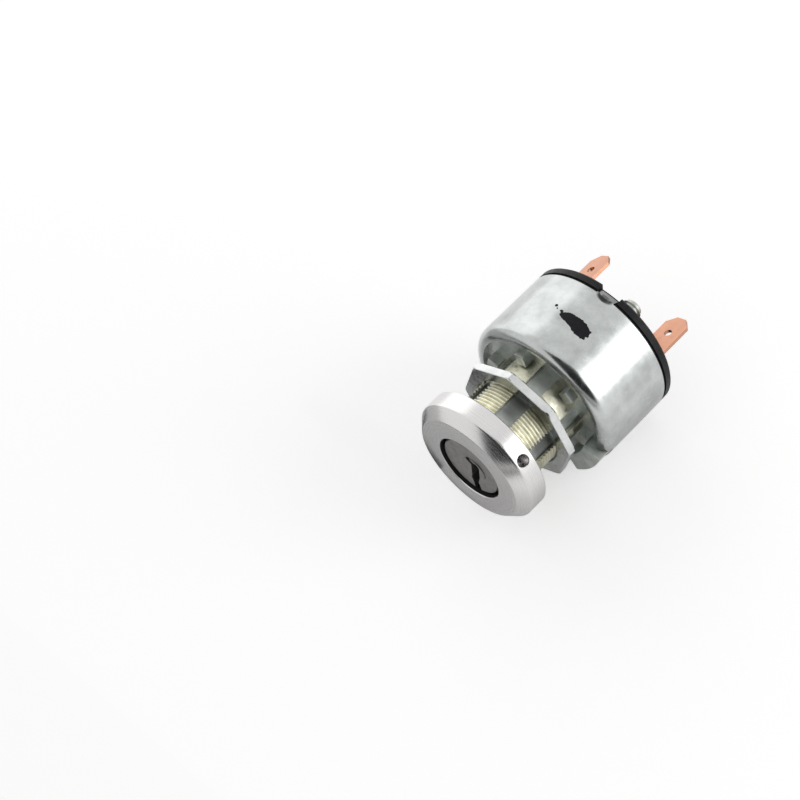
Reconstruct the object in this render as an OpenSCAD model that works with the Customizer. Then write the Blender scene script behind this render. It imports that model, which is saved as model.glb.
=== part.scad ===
// Keyed ignition switch for a panel: threaded barrel, bezel ring, jam nut, contact can and terminals.
// Every module is drawn with its +Z along the barrel, towards the front, and height 0 on the panel's front.
// The finished piece is then turned so that the front faces -Y and the keyway stands upright in Z.

/* [Bezel ring] */
// Outside diameter of the bezel ring
ring_d = 31.4; // [30:0.1:36]
// Height of the ring from the panel to its front face
ring_h = 7; // [6:0.1:9]
// Size of the bevel round its front edge
ring_bevel = 2.3; // [0.5:0.1:3]
// Diameter of the opening in its front lip
ring_hole_d = 16.7; // [16:0.1:18]
// Thickness of its front lip
ring_lip = 2.2; // [1.5:0.1:3]
// Diameter of each hole for the pin spanner
spanner_hole_d = 2.8; // [1.5:0.1:3.4]
// Depth of each spanner hole
spanner_hole_depth = 3; // [1:0.1:4]
// Height of the spanner holes above the panel
spanner_hole_up = 2.5; // [2:0.1:3.5]
// Angle of the first spanner hole
spanner_angle = 34; // [0:1:180]

/* [Barrel] */
// Outside diameter of the thread
thread_d = 22; // [21:0.1:24]
// Radius of the opening in the barrel's front
mouth_r = 8.8; // [8.6:0.1:9.2]
// Depth of that opening
mouth_depth = 1.9; // [1:0.1:2.2]
// Bevel at the start of the thread
thread_bevel = 0.6; // [0.2:0.1:1]
// Number of flats along the thread
flat_count = 6; // [3:1:6]
// Width of each flat
flat_w = 4.5; // [2:0.1:6]
// Depth of each flat below the thread's crest
flat_depth = 1.2; // [0.4:0.1:1.5]
// Angle of the first flat
flat_angle = 12; // [0:1:60]
// Thickness of the rear flange
flange_t = 3.7; // [3:0.1:5]
// Depth of the flange's inner face below its edge
face_recess = 0.55; // [0.2:0.05:0.8]
// Width of each small lug on the face
lug_w = 2.6; // [1.5:0.1:3.5]
// Radial length of each small lug
lug_len = 2.7; // [1.5:0.1:3.2]
// Height of each small lug
lug_h = 2.4; // [1:0.1:3]
// Angle that the locating lug covers
locating_lug_angle = 38; // [20:1:50]
// Angle at the middle of the locating lug
locating_lug_at = -38; // [-60:1:-20]
// Height of the locating lug
locating_lug_h = 3.2; // [2:0.1:4]
// Radial thickness of the locating lug
locating_lug_t = 4; // [2:0.1:5]

/* [Jam nut] */
// Width across the flats of the nut
nut_af = 28; // [26:0.1:32]
// Thickness of the nut
nut_t = 2; // [1.5:0.1:3]
// Space for the panel, between the ring and the nut
panel_gap = 8.4; // [4:0.1:8.6]

/* [Can] */
// Outside diameter of the can
can_d = 38; // [37.5:0.1:42]
// Wall thickness of the can
can_wall = 0.8; // [0.5:0.05:1]
// Length of the can
can_len = 19.2; // [18.5:0.1:22]
// Distance from the panel back to the can
can_setback = 16; // [15:0.1:19]
// Radius of the can's front shoulder
shoulder_r = 2.3; // [1.5:0.1:2.8]
// Width of the lip that is rolled in over the flange
lip_w = 2.8; // [2:0.1:3.2]
// Width of each crimp tab
tab_w = 4.6; // [2:0.1:5]
// Depth of the notch in the can's edge for the locating lug
locating_notch_h = 2.5; // [2:0.1:2.8]
// Height behind the can's edge at which the crimp tabs begin to lean
tab_rise = 0.3; // [0.2:0.05:0.6]
// How far a crimp tab leans inwards, on its inside
tab_lean = 1; // [0.5:0.05:1.1]
// Depth of the punch mark at a crimp tab's foot
dent_depth = 0.5; // [0.2:0.05:0.6]
// Angle of the first crimp tab
tab_angle = 76; // [60:1:80]

/* [Terminal base] */
// Height of the rim behind the can
rim_h = 2.6; // [2:0.1:4]
// How far the rim stands inside the can's outline
rim_inset = 0.05; // [0:0.05:0.5]
// Depth of the groove between the rim and the can
rim_groove = 0.4; // [0.1:0.05:0.5]
// Width of that groove
rim_groove_w = 0.7; // [0.3:0.05:1]
// Bevel on the rim's back edge
rim_bevel = 0.4; // [0.1:0.1:0.8]
// Wall thickness of the contact chamber
chamber_wall = 1.8; // [1.2:0.1:2.2]
// Length of the contact chamber
chamber_len = 10.9; // [10:0.1:12]
// Radial depth of the notches for the crimp tabs
notch_depth = 2.2; // [2:0.1:2.4]
// Side clearance of a crimp tab in its notch
notch_gap = 0.45; // [0.2:0.05:1]

/* [Terminals] */
// Width of the push-on blades
blade_w = 6.3; // [4.8:0.1:6.6]
// Thickness of the blades
blade_t = 0.8; // [0.5:0.1:1]
// Length of the blades behind the base
blade_len = 10.5; // [8:0.1:13]
// Diameter of the hole in each blade
blade_hole_d = 1.8; // [1:0.1:2.5]
// Distance of that hole from the tip
blade_hole_back = 4.8; // [3:0.1:6]
// Length of the bevels at a blade's tip
blade_tip_len = 2; // [0.5:0.1:2.5]
// Width of the bevels at a blade's tip
blade_tip_w = 1.9; // [0.5:0.1:2.2]
// Distance of the ignition blade from the centre
ignition_r = 13.4; // [13:0.1:14.5]
// Angle of the ignition blade
ignition_angle = 121; // [110:1:140]
// Distance of the start blade's middle from the centre
start_r = 14.6; // [14:0.1:14.9]
// Angle of the start blade
start_angle = 18; // [5:1:22]
// Diameter of the battery stud
stud_d = 5; // [4:0.1:5.5]
// Length of the battery stud behind the base
stud_len = 5.4; // [4:0.1:9]
// Distance of the battery stud from the centre
stud_r = 9.3; // [8.5:0.1:10]
// Angle of the battery stud
stud_angle = 58; // [50:1:66]
// Width across the flats of the stud's collar
collar_af = 8; // [7:0.1:8.4]
// Thickness of the stud's collar
collar_t = 1.8; // [1:0.1:2.6]
// Diameter of the stud's shank in the base
shank_d = 4; // [3:0.1:4.4]
// Diameter of the battery contact that the shank is riveted in
battery_contact_d = 6; // [5.6:0.1:6.4]
// Diameter of the contact rivets' shanks
rivet_d = 2.4; // [1.6:0.1:2.8]
// Diameter of the contact rivets' heads
rivet_head_d = 3.6; // [3:0.1:4]
// Height of the fixed contacts in the chamber
contact_h = 1; // [0.6:0.1:1.4]

/* [Lock] */
// Diameter of the plug's head
plug_head_d = 15.4; // [14.4:0.1:15.6]
// Diameter of the plug's body
plug_d = 13.6; // [13:0.1:14]
// Length of the plug's head
plug_head_len = 4; // [3:0.1:5]
// How far the plug's face lies below the ring's
plug_recess = 0.7; // [0.4:0.1:1.5]
// Width of the keyway
keyway_w = 2.2; // [1.4:0.1:2.4]
// Height of the keyway above the plug's axis
keyway_up = 3.4; // [2.5:0.1:3.6]
// Height of the keyway below the plug's axis
keyway_down = 5.2; // [4.8:0.1:5.4]
// Sideways swing of the keyway's bends
keyway_swing = 1.7; // [0.4:0.1:1.8]
// Depth of the keyway's mouth at the edge of the plug's head
keyway_mouth = 3; // [1:0.1:3.5]
// Radius of the low round pad that the keyway is cut through
pad_r = 3.2; // [2.8:0.1:3.6]
// Height of that pad
pad_h = 0.2; // [0.05:0.05:0.3]
// Width of a wafer
wafer_w = 7; // [6.8:0.1:7.2]
// Thickness of a wafer
wafer_t = 1.2; // [0.8:0.1:1.4]
// Distance between wafers
wafer_pitch = 2.4; // [2:0.1:2.5]
// Depth of the barrel's locking grooves
groove_depth = 1.3; // [0.8:0.1:1.5]
// Thickness of the plug's clip
clip_t = 0.8; // [0.5:0.1:1]
// Width of the tang that drives the rotor
tang_w = 8; // [6:0.1:9]
// Thickness of the tang
tang_t = 3; // [2:0.1:4]

/* [Rotor] */
// Gap between the rotor and the chamber's wall
rotor_gap = 1.9; // [1.6:0.1:2.2]
// Thickness of the rotor
rotor_t = 6.2; // [5.8:0.1:6.6]
// Diameter of the rotor's rear pivot
pivot_d = 4.8; // [3:0.1:6]
// Length of the pivot in the base
pivot_len = 3; // [1.5:0.1:4]
// Width of the square boss that carries the contact plate
boss_w = 7; // [6:0.1:7.4]
// Thickness of the contact plate
plate_t = 1; // [0.6:0.1:1.4]
// Outside diameter of the contact plate
plate_d = 26.4; // [25:0.1:27.4]
// Angle of the turn from off to start
turn_angle = 90; // [60:1:90]
// Angle from one detent to the next
detent_step = 45; // [30:1:45]
// Diameter of the detent ball
ball_d = 3.6; // [3:0.1:4]
// Distance of the detent ball from the centre
ball_r = 11.6; // [11.4:0.1:12]
// Depth that the ball drops into a detent
detent_drop = 0.45; // [0.2:0.05:0.6]

/* [Springs] */
// Wire diameter of the return spring
return_wire = 1; // [0.8:0.05:1.1]
// Mean radius of the return spring
return_r = 6.7; // [6.6:0.05:6.9]
// Length of the return spring's legs
return_leg = 8; // [6:0.1:8]
// Rise of the return spring in one turn
return_pitch = 1.15; // [1.12:0.01:1.25]
// Wire diameter of the contact springs
contact_wire = 0.5; // [0.3:0.05:0.6]
// Mean radius of the contact springs
contact_spring_r = 1.7; // [1.4:0.05:1.8]
// Distance of the contact springs from the centre
contact_spring_at = 9.6; // [9.4:0.1:10]
// Wire diameter of the detent spring
detent_wire = 0.4; // [0.3:0.05:0.45]
// Wire diameter of the wafer springs
wafer_wire = 0.24; // [0.15:0.01:0.3]
// Mean radius of the wafer springs
wafer_spring_r = 0.4; // [0.3:0.01:0.42]

/* [Clearances] */
// Radial clearance of pieces that turn in each other
run_gap = 0.05; // [0.02:0.01:0.1]
// Radial clearance of pieces that are pushed or screwed together
fit_gap = 0.1; // [0.05:0.01:0.15]
// Gap between faces that turn past each other
face_gap = 0.3; // [0.2:0.05:0.4]
// Gap between the contact plate and the fixed contacts
contact_gap = 0.05; // [0.02:0.01:0.1]

/* [Hidden] */
$fn = 96;

// How far a cutting shape runs past the solid that it cuts
over = 1;

// Heights along the barrel, from the front to the back
barrel_front = ring_h - ring_lip;
plug_front = ring_h - plug_recess;
head_back = plug_front - plug_head_len;
nut_front = -panel_gap;
nut_back = nut_front - nut_t;
can_front = -can_setback;
can_back = can_front - can_len;
flange_front = can_front - can_wall;
face_front = flange_front - face_recess;
flange_back = flange_front - flange_t;
deck_front = flange_back - chamber_len;
tab_back = can_back - tab_rise - tab_lean - can_wall;
base_back = can_back - rim_h;
rotor_front = flange_back - face_gap;
rotor_back = rotor_front - rotor_t;
plate_back = deck_front + contact_h + contact_gap;
plate_front = plate_back + plate_t;

// Radii of the barrel and the can
thread_r = thread_d / 2;
flat_r = thread_r - flat_depth;
can_r = can_d / 2;
can_bore_r = can_r - can_wall;
flange_r = can_bore_r - fit_gap;
lip_r = can_r - lip_w;
edge_bevel = shoulder_r - can_wall + fit_gap;
lug_gap = 0.4;
lug_r = thread_r + lug_gap;
sector_step = 360 / flat_count;
locating_inset = 0.3;
locating_r = can_r - locating_inset;
notch_edge = can_front - locating_notch_h;

// Plug, clip and barrel bore
plug_r = plug_d / 2;
head_r = plug_head_d / 2;
bore_r = plug_r + run_gap;
clip_room = 2.6;
bore_back = flange_back + clip_room;
clip_front = bore_back - run_gap;
clip_back = clip_front - clip_t;
clip_reach = 1.6;
clip_r = plug_r + clip_reach;
clip_groove = 1.4;
clip_groove_r = plug_r - clip_groove;
clip_mouth = 60;
clip_mouth_at = 270;
collar_step = 0.9;
collar_r = plug_r - collar_step;
collar_len = 0.6;
collar_back = clip_back - collar_len;
clip_side_gap = 0.6;
counterbore_r = clip_r + clip_side_gap;
tang_len = 4;
tang_back = rotor_front - tang_len;
keyway_len = 15.8;
keyway_back = head_back - keyway_len;

// Keyway: narrow tail at the top, wide middle, foot at the bottom
keyway_tail_side = -0.2;
keyway_tail_w = keyway_w / 2;
keyway_foot_w = keyway_w * 0.9;
keyway_foot_side = 0.5;
keyway_tail = [keyway_tail_side, keyway_up - keyway_tail_w / 2];
keyway_high = [keyway_swing, keyway_up - keyway_tail_w - keyway_w / 3];
keyway_low = [keyway_swing * 0.75, -keyway_down * 0.4];
keyway_foot = [keyway_foot_side, keyway_foot_w / 2 - keyway_down];
keyway_edge = [2 * keyway_foot_side, -head_r];
pad_mid = [0.9, 0];

// Wafers, counted from the front
wafer_count = 6;
wafer_start = 1.6;
wafer_first = head_back - wafer_start;
wafer_cut = [0.2, -0.3, 0.35, -0.1, 0.3, -0.25];
wafer_slot_t = wafer_t + fit_gap;
wafer_r = plug_r - run_gap;
window_gap = 0.15;
window_left = keyway_tail_side - keyway_tail_w / 2 - window_gap;
window_right = keyway_swing + keyway_w / 2 + window_gap;
window_margin = 0.35;
ear_len = 1.5;
ear_h = 0.8;
ear_root = 0.5;
ear_drop = 4.4;

// Rotor and contact chamber
chamber_r = flange_r - chamber_wall;
rotor_r = chamber_r - rotor_gap;
pivot_r = pivot_d / 2;
pivot_back = deck_front - pivot_len;
boss_gap = 0.5;
boss_back = deck_front + boss_gap;
plate_r = plate_d / 2;
plate_hub_r = 6;
plate_from = 88;
plate_spare = 44;
plate_to = plate_from + turn_angle + plate_spare;
stop_at = 315;
stop_half = 8;
stop_gap = 1;
rib_half = 6;
stop_side_gap = 0.6;
stop_r = chamber_r - stop_side_gap;
rib_side_gap = 0.4;
rib_r = rotor_r + rib_side_gap;
stop_h = 3;
ball_at = 290;
ball_front = flange_back - run_gap;
ball_mid = ball_front - ball_d / 2;
ball_bore_r = ball_d / 2 + run_gap;
detent_spring_len = 2.1;
ball_bore_back = ball_mid - ball_d / 2 - detent_spring_len;

// Terminals on the base
rim_r = can_r - rim_inset;
notch_r = rim_r - notch_depth;
tab_count = 3;
tab_step = 360 / tab_count;
tab_half = asin(tab_w / can_d);
dent_r = 2.6;
notch_half = asin((tab_w / 2 + notch_gap) / can_r);
ignition_rivet_in = 3.2;
ignition_rivet_r = ignition_r - ignition_rivet_in;
start_rivet_in = 3.4;
start_rivet_r = start_r - start_rivet_in;
start_rivet_side = -2.2;
foot_margin = 2.2;

// Springs
return_front = flange_back + fit_gap + return_wire / 2 - face_gap / 2;
return_from = 60;
return_steps = 24;
return_count = 66;
return_turns = return_count / return_steps;
return_to = return_from + 360 * return_turns;
return_back = return_front - return_pitch * return_turns;
return_well_gap = 0.7;
return_well_in = return_r - return_wire / 2 - return_well_gap;
return_well_out = return_r + return_wire / 2 + return_well_gap;
return_wire_gap = 0.3;
return_well_back = return_back - return_wire / 2 - return_wire_gap;
return_slot_w = return_wire + return_wire_gap;
contact_spring_angles = [108, 153, 198];
contact_well_gap = 0.3;
contact_well_r = contact_spring_r + contact_wire / 2 + contact_well_gap;
contact_well_depth = 3;
contact_well_front = rotor_back + contact_well_depth;
detent_spring_gap = 0.2;
detent_spring_r = ball_d / 2 - detent_wire / 2 - detent_spring_gap;

// Turns a finished piece so that its front faces -Y
module front_to_minus_y() {
    rotate([90, 0, 0]) children();
}

// Cylinder between two heights
module rod(r, low, high) {
    translate([0, 0, low]) cylinder(r = r, h = high - low);
}

// Part of a ring between two angles, two radii and two heights
module sector(r_in, r_out, from, to, low, high) {
    rotate([0, 0, from])
        rotate_extrude(angle = to - from)
            translate([r_in, low]) square([r_out - r_in, high - low]);
}

// Places a piece at a distance and an angle from the barrel's axis
module polar(r, angle) {
    rotate([0, 0, angle]) translate([r, 0, 0]) children();
}

// Straight slot with round ends between two points
module slot_2d(from, to, w) {
    run = to - from;
    translate(from) rotate(atan2(run[1], run[0])) translate([0, -w / 2]) square([norm(run), w]);
    translate(from) circle(d = w);
    translate(to) circle(d = w);
}

// Round wire along a path that never runs straight up
function unit(v) = v / norm(v);
function run_at(path, i) = unit(path[min(i + 1, len(path) - 1)] - path[max(i - 1, 0)]);
function ring_at(path, i, r, sides) =
    let (along = run_at(path, i), side = unit(cross(along, [0, 0, 1])), rise = cross(side, along))
    [for (k = [0:sides - 1]) path[i] + r * (cos(360 * k / sides) * side + sin(360 * k / sides) * rise)];
module wire(path, r, sides) {
    last = len(path) - 1;
    points = [for (i = [0:last]) each ring_at(path, i, r, sides)];
    skin = [for (i = [0:last - 1], k = [0:sides - 1])
        let (a = i * sides + k, b = i * sides + (k + 1) % sides)
        each [[a, a + sides, b], [b, a + sides, b + sides]]];
    start_cap = [for (k = [0:sides - 1]) k];
    end_cap = [for (k = [sides - 1:-1:0]) last * sides + k];
    polyhedron(points = points, faces = concat([start_cap], skin, [end_cap]));
}

// Points of a coil that climbs from one height to another
function coil(r, low, high, turns, steps) =
    [for (i = [0:turns * steps]) let (a = 360 * i / steps)
        [r * cos(a), r * sin(a), low + (high - low) * i / (turns * steps)]];

// Compression spring that fills the space between two heights
module coil_spring(mean_r, wire_d, low, high, turns, steps, sides) {
    wire(coil(mean_r, low + wire_d / 2, high - wire_d / 2, turns, steps), wire_d / 2, sides);
}

// Bezel ring with its bevel, front opening and spanner holes
module bezel_ring() {
    color("#c6c4c6") front_to_minus_y() difference() {
        union() {
            rod(ring_d / 2, 0, ring_h - ring_bevel);
            translate([0, 0, ring_h - ring_bevel])
                cylinder(r1 = ring_d / 2, r2 = ring_d / 2 - ring_bevel, h = ring_bevel);
        }
        rod(thread_r + fit_gap, -over, barrel_front);
        rod(ring_hole_d / 2, 0, ring_h + over);
        for (turn = [0, 180])
            rotate([0, 0, spanner_angle + turn])
                translate([ring_d / 2 - spanner_hole_depth, 0, spanner_hole_up])
                    rotate([0, 90, 0]) cylinder(d = spanner_hole_d, h = spanner_hole_depth + over);
    }
}

// Thin eight-sided nut
module jam_nut() {
    nut_sides = 8;
    color("#c9ccd0") front_to_minus_y() difference() {
        translate([0, 0, nut_back]) cylinder(r = nut_af / 2 / cos(180 / nut_sides), h = nut_t, $fn = nut_sides);
        rod(thread_r + fit_gap, nut_back - over, nut_front + over);
    }
}

// Profile of the flange, with its edge cut back to clear the can's shoulder
module flange_2d() {
    polygon([
        [0, flange_back], [flange_r, flange_back], [flange_r, flange_front - edge_bevel],
        [flange_r - edge_bevel, flange_front], [lip_r, flange_front], [lip_r, face_front], [0, face_front]
    ]);
}

// Die-cast housing: thread with flats, flange with lugs, bore with locking grooves
module lock_barrel() {
    locating_from = locating_lug_at - locating_lug_angle / 2;
    locating_to = locating_lug_at + locating_lug_angle / 2;
    color("#cfcbb0") front_to_minus_y() difference() {
        union() {
            rotate_extrude() flange_2d();
            difference() {
                union() {
                    rod(thread_r, face_front, barrel_front - thread_bevel);
                    translate([0, 0, barrel_front - thread_bevel])
                        cylinder(r1 = thread_r, r2 = thread_r - thread_bevel, h = thread_bevel);
                }
                for (i = [0:flat_count - 1])
                    rotate([0, 0, flat_angle + i * sector_step])
                        translate([flat_r, -flat_w / 2, face_front])
                            cube([flat_depth + over, flat_w, barrel_front - face_front + over]);
            }
            for (i = [0:flat_count - 1])
                polar(lug_r, flat_angle + (i + 0.5) * sector_step)
                    translate([0, -lug_w / 2, face_front]) cube([lug_len, lug_w, lug_h]);
            sector(lip_r - locating_lug_t / 2, flange_r, locating_from, locating_to,
                flange_front - edge_bevel, face_front + locating_lug_h);
            sector(lip_r - locating_lug_t / 2, locating_r, locating_from, locating_to,
                notch_edge + fit_gap, face_front + locating_lug_h);
        }
        rod(bore_r, flange_back - over, barrel_front + over);
        rod(head_r + run_gap, head_back - run_gap, barrel_front + over);
        rod(mouth_r, barrel_front - mouth_depth, barrel_front + over);
        rod(counterbore_r, flange_back - over, bore_back);
        for (turn = [90, 270])
            polar(0, turn)
                translate([0, -(wafer_w + fit_gap) / 2, head_back - wafer_count * wafer_pitch - over])
                    cube([bore_r + groove_depth, wafer_w + fit_gap, wafer_count * wafer_pitch + over]);
        for (step = [0, detent_step, turn_angle])
            polar(ball_r, ball_at - step)
                translate([0, 0, ball_mid + detent_drop]) sphere(r = ball_bore_r);
        return_leg_cut(return_from, -1, flange_back - over, return_front + return_slot_w / 2);
    }
}

// Drawn can: wall, rounded shoulder, lip rolled over the flange, crimp tabs folded over the base
module can() {
    locating_half = locating_lug_angle / 2 + asin(fit_gap / can_r) * 2;
    color("#b9bec0") front_to_minus_y() difference() {
        rotate_extrude() can_2d();
        sector(lip_r - over, can_r + over, locating_lug_at - locating_half,
            locating_lug_at + locating_half, notch_edge, can_front + over);
        for (i = [0:tab_count - 1]) {
            sector(notch_r - over, can_r + over, tab_angle + i * tab_step + tab_half,
                tab_angle + (i + 1) * tab_step - tab_half, tab_back - over, can_back);
            polar(can_r + dent_r - dent_depth, tab_angle + i * tab_step)
                translate([0, 0, can_back - tab_rise]) sphere(r = dent_r);
        }
    }
}

// Half section of a drum with a rounded front edge and a bevelled back edge
module drum_2d(r, front_edge, back_edge, low, high) {
    polygon([
        [0, low], [r - back_edge, low], [r, low + back_edge], [r, high - front_edge],
        [r - front_edge, high - front_edge], [r - front_edge, high], [0, high]
    ]);
    translate([r - front_edge, high - front_edge]) circle(r = front_edge);
}

// Half section of the can through a crimp tab
module can_2d() {
    difference() {
        drum_2d(can_r, shoulder_r, tab_lean + can_wall, tab_back, can_front);
        drum_2d(can_bore_r, shoulder_r - can_wall, tab_lean, tab_back + can_wall, flange_front);
        translate([0, flange_front - over]) square([lip_r, can_wall + 2 * over]);
        translate([0, tab_back - over]) square([notch_r + fit_gap, can_wall + 2 * over]);
    }
}

// Half section of the base: deck, chamber wall, rim and the groove beside the can
module base_2d() {
    groove_r = rim_r - rim_groove;
    groove_back = can_back - rim_groove_w;
    polygon([
        [0, base_back], [rim_r - rim_bevel, base_back], [rim_r, base_back + rim_bevel], [rim_r, groove_back],
        [groove_r, groove_back], [groove_r, can_back], [flange_r, can_back], [flange_r, flange_back],
        [chamber_r, flange_back], [chamber_r, deck_front], [0, deck_front]
    ]);
}

// Half section of a notch for a crimp tab: floor and slope that the tab lies on
module notch_2d() {
    floor_at = tab_back + can_wall;
    lean_r = can_bore_r - tab_lean;
    inner_r = flange_r - fit_gap;
    polygon([
        [notch_r, base_back - over], [can_r + over, base_back - over], [can_r + over, can_back + fit_gap],
        [inner_r, can_back + fit_gap], [inner_r, floor_at + inner_r - lean_r], [lean_r, floor_at],
        [notch_r, floor_at]
    ]);
}

// Moulded base: rim, chamber wall, deck with its holes, stops for the rotor
module terminal_base() {
    color("#202124") front_to_minus_y() {
        difference() {
            rotate_extrude() base_2d();
            rod(pivot_r + run_gap, pivot_back - face_gap, deck_front + over);
            polar(stud_r, stud_angle) rod(shank_d / 2 + run_gap, base_back - over, deck_front + over);
            ignition_rivet_place() rod(rivet_d / 2 + run_gap, base_back - over, deck_front + over);
            start_rivet_place() rod(rivet_d / 2 + run_gap, base_back - over, deck_front + over);
            for (i = [0:tab_count - 1])
                rotate([0, 0, tab_angle + i * tab_step - notch_half])
                    rotate_extrude(angle = 2 * notch_half) notch_2d();
        }
        for (mid = [stop_at + stop_half + stop_gap + rib_half,
                    stop_at - turn_angle - stop_half - stop_gap - rib_half])
            sector(rib_r, chamber_r + over / 2, mid - rib_half, mid + rib_half,
                deck_front - over / 2, rotor_back + stop_h);
    }
}

module ignition_rivet_place() {
    polar(ignition_rivet_r, ignition_angle) children();
}

module start_rivet_place() {
    rotate([0, 0, start_angle]) translate([start_rivet_r, start_rivet_side, 0]) children();
}

// Outline of a push-on blade, from its foot at 0 to its tip
module blade_2d() {
    half = blade_w / 2;
    difference() {
        polygon([
            [-half, 0], [half, 0], [half, blade_len - blade_tip_len], [half - blade_tip_w, blade_len],
            [blade_tip_w - half, blade_len], [-half, blade_len - blade_tip_len]
        ]);
        translate([0, blade_len - blade_hole_back]) circle(d = blade_hole_d);
    }
}

// Upright part of a blade: its width along X, its tip to the back
module blade_plate() {
    translate([0, -blade_t / 2, base_back]) rotate([-90, 0, 0]) linear_extrude(blade_t) blade_2d();
}

// Ignition blade: stands across the radius, its foot runs inwards to the rivet
module ignition_blade() {
    foot_in = ignition_rivet_r - foot_margin;
    color("#c98a68") front_to_minus_y() rotate([0, 0, ignition_angle]) {
        translate([ignition_r, 0, 0]) rotate([0, 0, 90]) blade_plate();
        difference() {
            translate([foot_in, -blade_w / 2, base_back - blade_t])
                cube([ignition_r + blade_t / 2 - foot_in, blade_w, blade_t]);
            translate([ignition_rivet_r, 0, 0])
                rod(rivet_d / 2 + run_gap, base_back - blade_t - over, base_back + over);
        }
    }
}

// Start blade: stands along the radius, its foot lies on one side of it
module start_blade() {
    foot_in = start_rivet_r - foot_margin;
    foot_side = start_rivet_side - foot_margin;
    color("#c98a68") front_to_minus_y() rotate([0, 0, start_angle]) {
        translate([start_r, 0, 0]) blade_plate();
        difference() {
            translate([foot_in, foot_side, base_back - blade_t])
                cube([2 * foot_margin, blade_t / 2 - foot_side, blade_t]);
            translate([start_rivet_r, start_rivet_side, 0])
                rod(rivet_d / 2 + run_gap, base_back - blade_t - over, base_back + over);
        }
    }
}

// Rivet that holds a blade's foot: its head in the chamber is the fixed contact
module contact_rivet() {
    rod(rivet_d / 2, base_back - blade_t - contact_h / 2, deck_front + contact_h / 2);
    rod(rivet_head_d / 2, deck_front, deck_front + contact_h);
    rod(rivet_head_d / 2, base_back - blade_t - contact_h, base_back - blade_t);
}

module ignition_contact() {
    color("#d8c9a8") front_to_minus_y() ignition_rivet_place() contact_rivet();
}

module start_contact() {
    color("#d8c9a8") front_to_minus_y() start_rivet_place() contact_rivet();
}

// Battery stud: free end, six-sided collar on the base, shank through the base
module battery_stud() {
    tip_bevel = 0.5;
    stud_back = base_back - stud_len;
    color("#b4b6b4") front_to_minus_y() polar(stud_r, stud_angle) {
        translate([0, 0, stud_back]) cylinder(r1 = stud_d / 2 - tip_bevel, r2 = stud_d / 2, h = tip_bevel);
        rod(stud_d / 2, stud_back + tip_bevel, base_back - collar_t);
        translate([0, 0, base_back - collar_t])
            cylinder(r = collar_af / 2 / cos(30), h = collar_t, $fn = 6);
        rod(shank_d / 2, base_back, deck_front + contact_h);
    }
}

// Fixed contact that the stud's shank is riveted in
module battery_contact() {
    color("#d8c9a8") front_to_minus_y() polar(stud_r, stud_angle) difference() {
        rod(battery_contact_d / 2, deck_front, deck_front + contact_h);
        rod(shank_d / 2 + run_gap, deck_front - over, deck_front + contact_h + over);
    }
}

// Outline of the keyway, upright with two bends
module keyway_2d() {
    slot_2d(keyway_tail, keyway_high, keyway_tail_w);
    slot_2d(keyway_high, keyway_low, keyway_w);
    slot_2d(keyway_low, keyway_foot, keyway_foot_w);
}

// Lock plug: head, body with wafer slots, clip groove, collar and driving tang
module key_plug() {
    face_bevel = 0.3;
    color("#a9a7a6") front_to_minus_y() difference() {
        union() {
            rod(head_r, head_back, plug_front - face_bevel);
            translate([0, 0, plug_front - face_bevel])
                cylinder(r1 = head_r, r2 = head_r - face_bevel, h = face_bevel);
            translate(pad_mid) rod(pad_r, plug_front - over, plug_front + pad_h);
            rod(plug_r, clip_front, head_back);
            rod(clip_groove_r, clip_back, clip_front);
            rod(collar_r, collar_back, clip_back);
            translate([-tang_w / 2, -tang_t / 2, tang_back]) cube([tang_w, tang_t, collar_back - tang_back]);
        }
        translate([0, 0, keyway_back]) linear_extrude(plug_front - keyway_back + over) keyway_2d();
        translate([0, 0, plug_front - keyway_mouth]) linear_extrude(keyway_mouth + over)
            slot_2d(keyway_foot, keyway_edge, keyway_foot_w - 2 * fit_gap);
        for (i = [1:wafer_count]) wafer_slot(i);
    }
}

function wafer_at(i) = wafer_first - (i - 1) * wafer_pitch;
function wafer_side(i) = i % 2 == 0 ? 1 : -1;

// Space for one wafer, with the room for its ear and spring
module wafer_slot(i) {
    slot_w = wafer_w + fit_gap;
    ear_w = ear_len + fit_gap;
    translate([0, 0, wafer_at(i) - wafer_slot_t / 2]) linear_extrude(wafer_slot_t) {
        square([slot_w, plug_d + over], center = true);
        translate([wafer_side(i) * (wafer_w + ear_w - ear_root) / 2, (ear_h + fit_gap - ear_drop) / 2])
            square([ear_w + ear_root, ear_drop + ear_h + fit_gap], center = true);
    }
}

// Wafer tumbler with its window and ear, drawn flush as with the key in
module wafer(i) {
    window_h = keyway_up + keyway_down + window_margin;
    window_mid = (keyway_up - keyway_down) / 2 + wafer_cut[i - 1] * window_margin;
    color("#c8a85a") front_to_minus_y()
        translate([0, 0, wafer_at(i) - wafer_t / 2]) linear_extrude(wafer_t) {
            difference() {
                intersection() {
                    circle(r = wafer_r);
                    square([wafer_w, plug_d], center = true);
                }
                translate([window_left, window_mid - window_h / 2])
                    square([window_right - window_left, window_h]);
            }
            translate([wafer_side(i) * (wafer_w + ear_len - ear_root) / 2, 0])
                square([ear_len + ear_root, 2 * ear_h], center = true);
        }
}

// Small spring that pushes one wafer out
module wafer_spring(i) {
    color("#d4d4d4") front_to_minus_y()
        translate([wafer_side(i) * (wafer_w + ear_len) / 2, 0, wafer_at(i)]) rotate([-90, 0, 0])
            coil_spring(wafer_spring_r, wafer_wire, -ear_drop, -ear_h, 5, 9, 5);
}

// Open ring that keeps the plug in the barrel
module plug_clip() {
    color("#9a9ea2") front_to_minus_y()
        sector(clip_groove_r + run_gap, clip_r, clip_mouth_at + clip_mouth / 2,
            clip_mouth_at + 360 - clip_mouth / 2, clip_back + run_gap, clip_front - run_gap);
}

// Straight channel for a leg of the return spring, along the coil's tangent
module return_leg_cut(angle, way, low, high) {
    rotate([0, 0, angle]) translate([return_r - return_slot_w / 2, way < 0 ? -return_leg - over : 0, low])
        cube([return_slot_w, return_leg + over, high - low]);
}

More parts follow.
